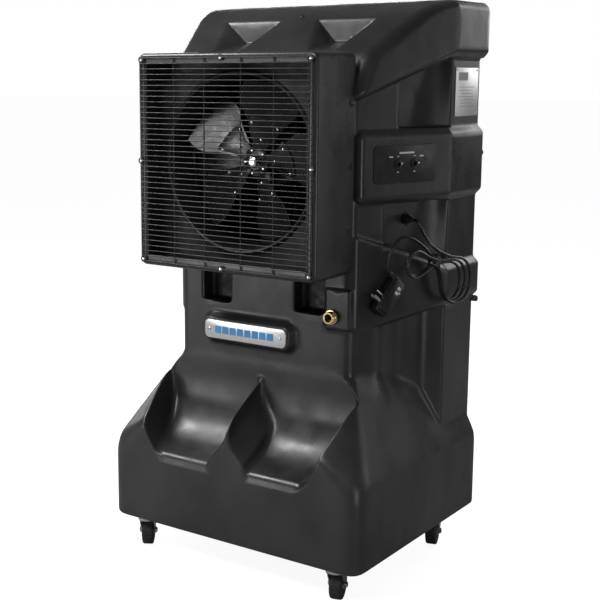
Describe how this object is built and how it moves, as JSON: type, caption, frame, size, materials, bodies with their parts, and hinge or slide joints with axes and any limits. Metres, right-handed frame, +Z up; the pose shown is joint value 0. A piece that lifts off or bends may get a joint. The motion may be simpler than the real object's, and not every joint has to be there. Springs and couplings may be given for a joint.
{
  "type": "portable evaporative cooler",
  "caption": "Tall black moulded evaporative cooler with a square guarded fan, front scoops, side pockets, rear pads, a folded power cord and swivel casters.",
  "frame": {"origin": "on the floor under the middle of the object, without its free cord", "axes": "+Z up, -Y is the front, where the fan blows, +X is the side with the switches"},
  "size_m": [0.7724, 0.639, 1.402],
  "materials": {
    "moulded_housing": "satin moulded polyethylene, soft mottling",
    "painted_fan": "gloss black enamel",
    "bright_steel": "bright",
    "grey_plastic": "moulded",
    "panel_black": "smooth black panel",
    "black_rubber": "smooth rubber",
    "brass": "machined",
    "pad_media": "corrugated cellulose, reddish brown",
    "silver_label": "satin plate",
    "zinc": "zinc plated",
    "wheel_rubber": "moulded black rubber wheel"
  },
  "bodies": {
    "root": {"housing": "moulded_housing", "fan_cowl": "moulded_housing", "venturi_panel": "painted_fan", "fan_guard": "painted_fan", "motor_mount": "painted_fan", "pad_frame": "painted_fan", "pump_body": "painted_fan", "nameplate": "bright_steel", "motor_casing": "grey_plastic", "float_valve": "grey_plastic", "pump_strainer": "grey_plastic", "riser_pipe": "grey_plastic", "distribution_pipe": "grey_plastic", "control_panel": "panel_black", "cord_gland": "black_rubber", "cord_lead": "black_rubber", "cord_hank": "black_rubber", "cord_tail": "black_rubber", "cord_tie": "black_rubber", "gfci_plug": "black_rubber", "inlet_hose": "black_rubber", "drain_cap": "black_rubber", "water_inlet": "brass", "pad_left": "pad_media", "pad_middle": "pad_media", "pad_right": "pad_media", "rating_plate": "silver_label", "caster_front_right_plate": "zinc", "caster_front_left_plate": "zinc", "caster_rear_right_plate": "zinc", "caster_rear_left_plate": "zinc"},
    "fan": {"fan_hub": "painted_fan", "hub_cap": "bright_steel", "motor_shaft": "bright_steel", "fan_blade_1": "painted_fan", "fan_blade_2": "painted_fan", "fan_blade_3": "painted_fan", "fan_blade_4": "painted_fan", "fan_blade_5": "painted_fan"},
    "fan_switch_lever": {"fan_switch": "bright_steel"},
    "pump_switch_lever": {"pump_switch": "bright_steel"},
    "float_arm_body": {"float_arm": "brass"},
    "button_lower_right": {"turn_button_lower_right": "zinc"},
    "button_lower_left": {"turn_button_lower_left": "zinc"},
    "button_upper_right": {"turn_button_upper_right": "zinc"},
    "button_upper_left": {"turn_button_upper_left": "zinc"},
    "caster_front_right_swivel": {"caster_front_right_fork": "zinc", "caster_front_right_axle": "zinc"},
    "caster_front_right_roller": {"caster_front_right_wheel": "wheel_rubber"},
    "caster_front_left_swivel": {"caster_front_left_fork": "zinc", "caster_front_left_axle": "zinc"},
    "caster_front_left_roller": {"caster_front_left_wheel": "wheel_rubber"},
    "caster_rear_right_swivel": {"caster_rear_right_fork": "zinc", "caster_rear_right_axle": "zinc"},
    "caster_rear_right_roller": {"caster_rear_right_wheel": "wheel_rubber"},
    "caster_rear_left_swivel": {"caster_rear_left_fork": "zinc", "caster_rear_left_axle": "zinc"},
    "caster_rear_left_roller": {"caster_rear_left_wheel": "wheel_rubber"}
  },
  "joints": [
    {"name": "fan_spin", "type": "hinge", "parent": "root", "child": "fan", "pos_m": [0, -0.184, 1.019], "axis": [0, 1, 0], "continuous": true},
    {"name": "fan_switch_toggle", "type": "hinge", "parent": "root", "child": "fan_switch_lever", "pos_m": [0.30809, -0.03867, 1.017], "axis": [0.3193, 0.9476, 0], "range_deg": [0, 26]},
    {"name": "pump_switch_toggle", "type": "hinge", "parent": "root", "child": "pump_switch_lever", "pos_m": [0.32502, 0.01155, 1.017], "axis": [0.3193, 0.9476, 0], "range_deg": [0, 26]},
    {"name": "float_swing", "type": "hinge", "parent": "root", "child": "float_arm_body", "pos_m": [0.15, 0.016, 0.255], "axis": [1, 0, 0], "range_deg": [0, 38]},
    {"name": "button_lower_right_turn", "type": "hinge", "parent": "root", "child": "button_lower_right", "pos_m": [0.326, 0.3139, 0.65], "axis": [0, 1, 0], "range_deg": [0, 90]},
    {"name": "button_lower_left_turn", "type": "hinge", "parent": "root", "child": "button_lower_left", "pos_m": [-0.326, 0.3139, 0.65], "axis": [0, 1, 0], "range_deg": [0, 90]},
    {"name": "button_upper_right_turn", "type": "hinge", "parent": "root", "child": "button_upper_right", "pos_m": [0.326, 0.3139, 1.03], "axis": [0, 1, 0], "range_deg": [0, 90]},
    {"name": "button_upper_left_turn", "type": "hinge", "parent": "root", "child": "button_upper_left", "pos_m": [-0.326, 0.3139, 1.03], "axis": [0, 1, 0], "range_deg": [0, 90]},
    {"name": "caster_front_right_swing", "type": "hinge", "parent": "root", "child": "caster_front_right_swivel", "pos_m": [0.288, -0.262, 0.08], "axis": [0, 0, 1], "continuous": true},
    {"name": "caster_front_right_roll", "type": "hinge", "parent": "caster_front_right_swivel", "child": "caster_front_right_roller", "pos_m": [0.28083, -0.23701, 0.0375], "axis": [-0.9613, -0.2756, 0], "continuous": true},
    {"name": "caster_front_left_swing", "type": "hinge", "parent": "root", "child": "caster_front_left_swivel", "pos_m": [-0.288, -0.262, 0.08], "axis": [0, 0, 1], "continuous": true},
    {"name": "caster_front_left_roll", "type": "hinge", "parent": "caster_front_left_swivel", "child": "caster_front_left_roller", "pos_m": [-0.30178, -0.23995, 0.0375], "axis": [-0.848, -0.5299, 0], "continuous": true},
    {"name": "caster_rear_right_swing", "type": "hinge", "parent": "root", "child": "caster_rear_right_swivel", "pos_m": [0.3, 0.2265, 0.08], "axis": [0, 0, 1], "continuous": true},
    {"name": "caster_rear_right_roll", "type": "hinge", "parent": "caster_rear_right_swivel", "child": "caster_rear_right_roller", "pos_m": [0.3076, 0.20164, 0.0375], "axis": [0.9563, 0.2924, 0], "continuous": true},
    {"name": "caster_rear_left_swing", "type": "hinge", "parent": "root", "child": "caster_rear_left_swivel", "pos_m": [-0.3, 0.2265, 0.08], "axis": [0, 0, 1], "continuous": true},
    {"name": "caster_rear_left_roll", "type": "hinge", "parent": "caster_rear_left_swivel", "child": "caster_rear_left_roller", "pos_m": [-0.32443, 0.21761, 0.0375], "axis": [0.342, -0.9397, 0], "continuous": true}
  ]
}
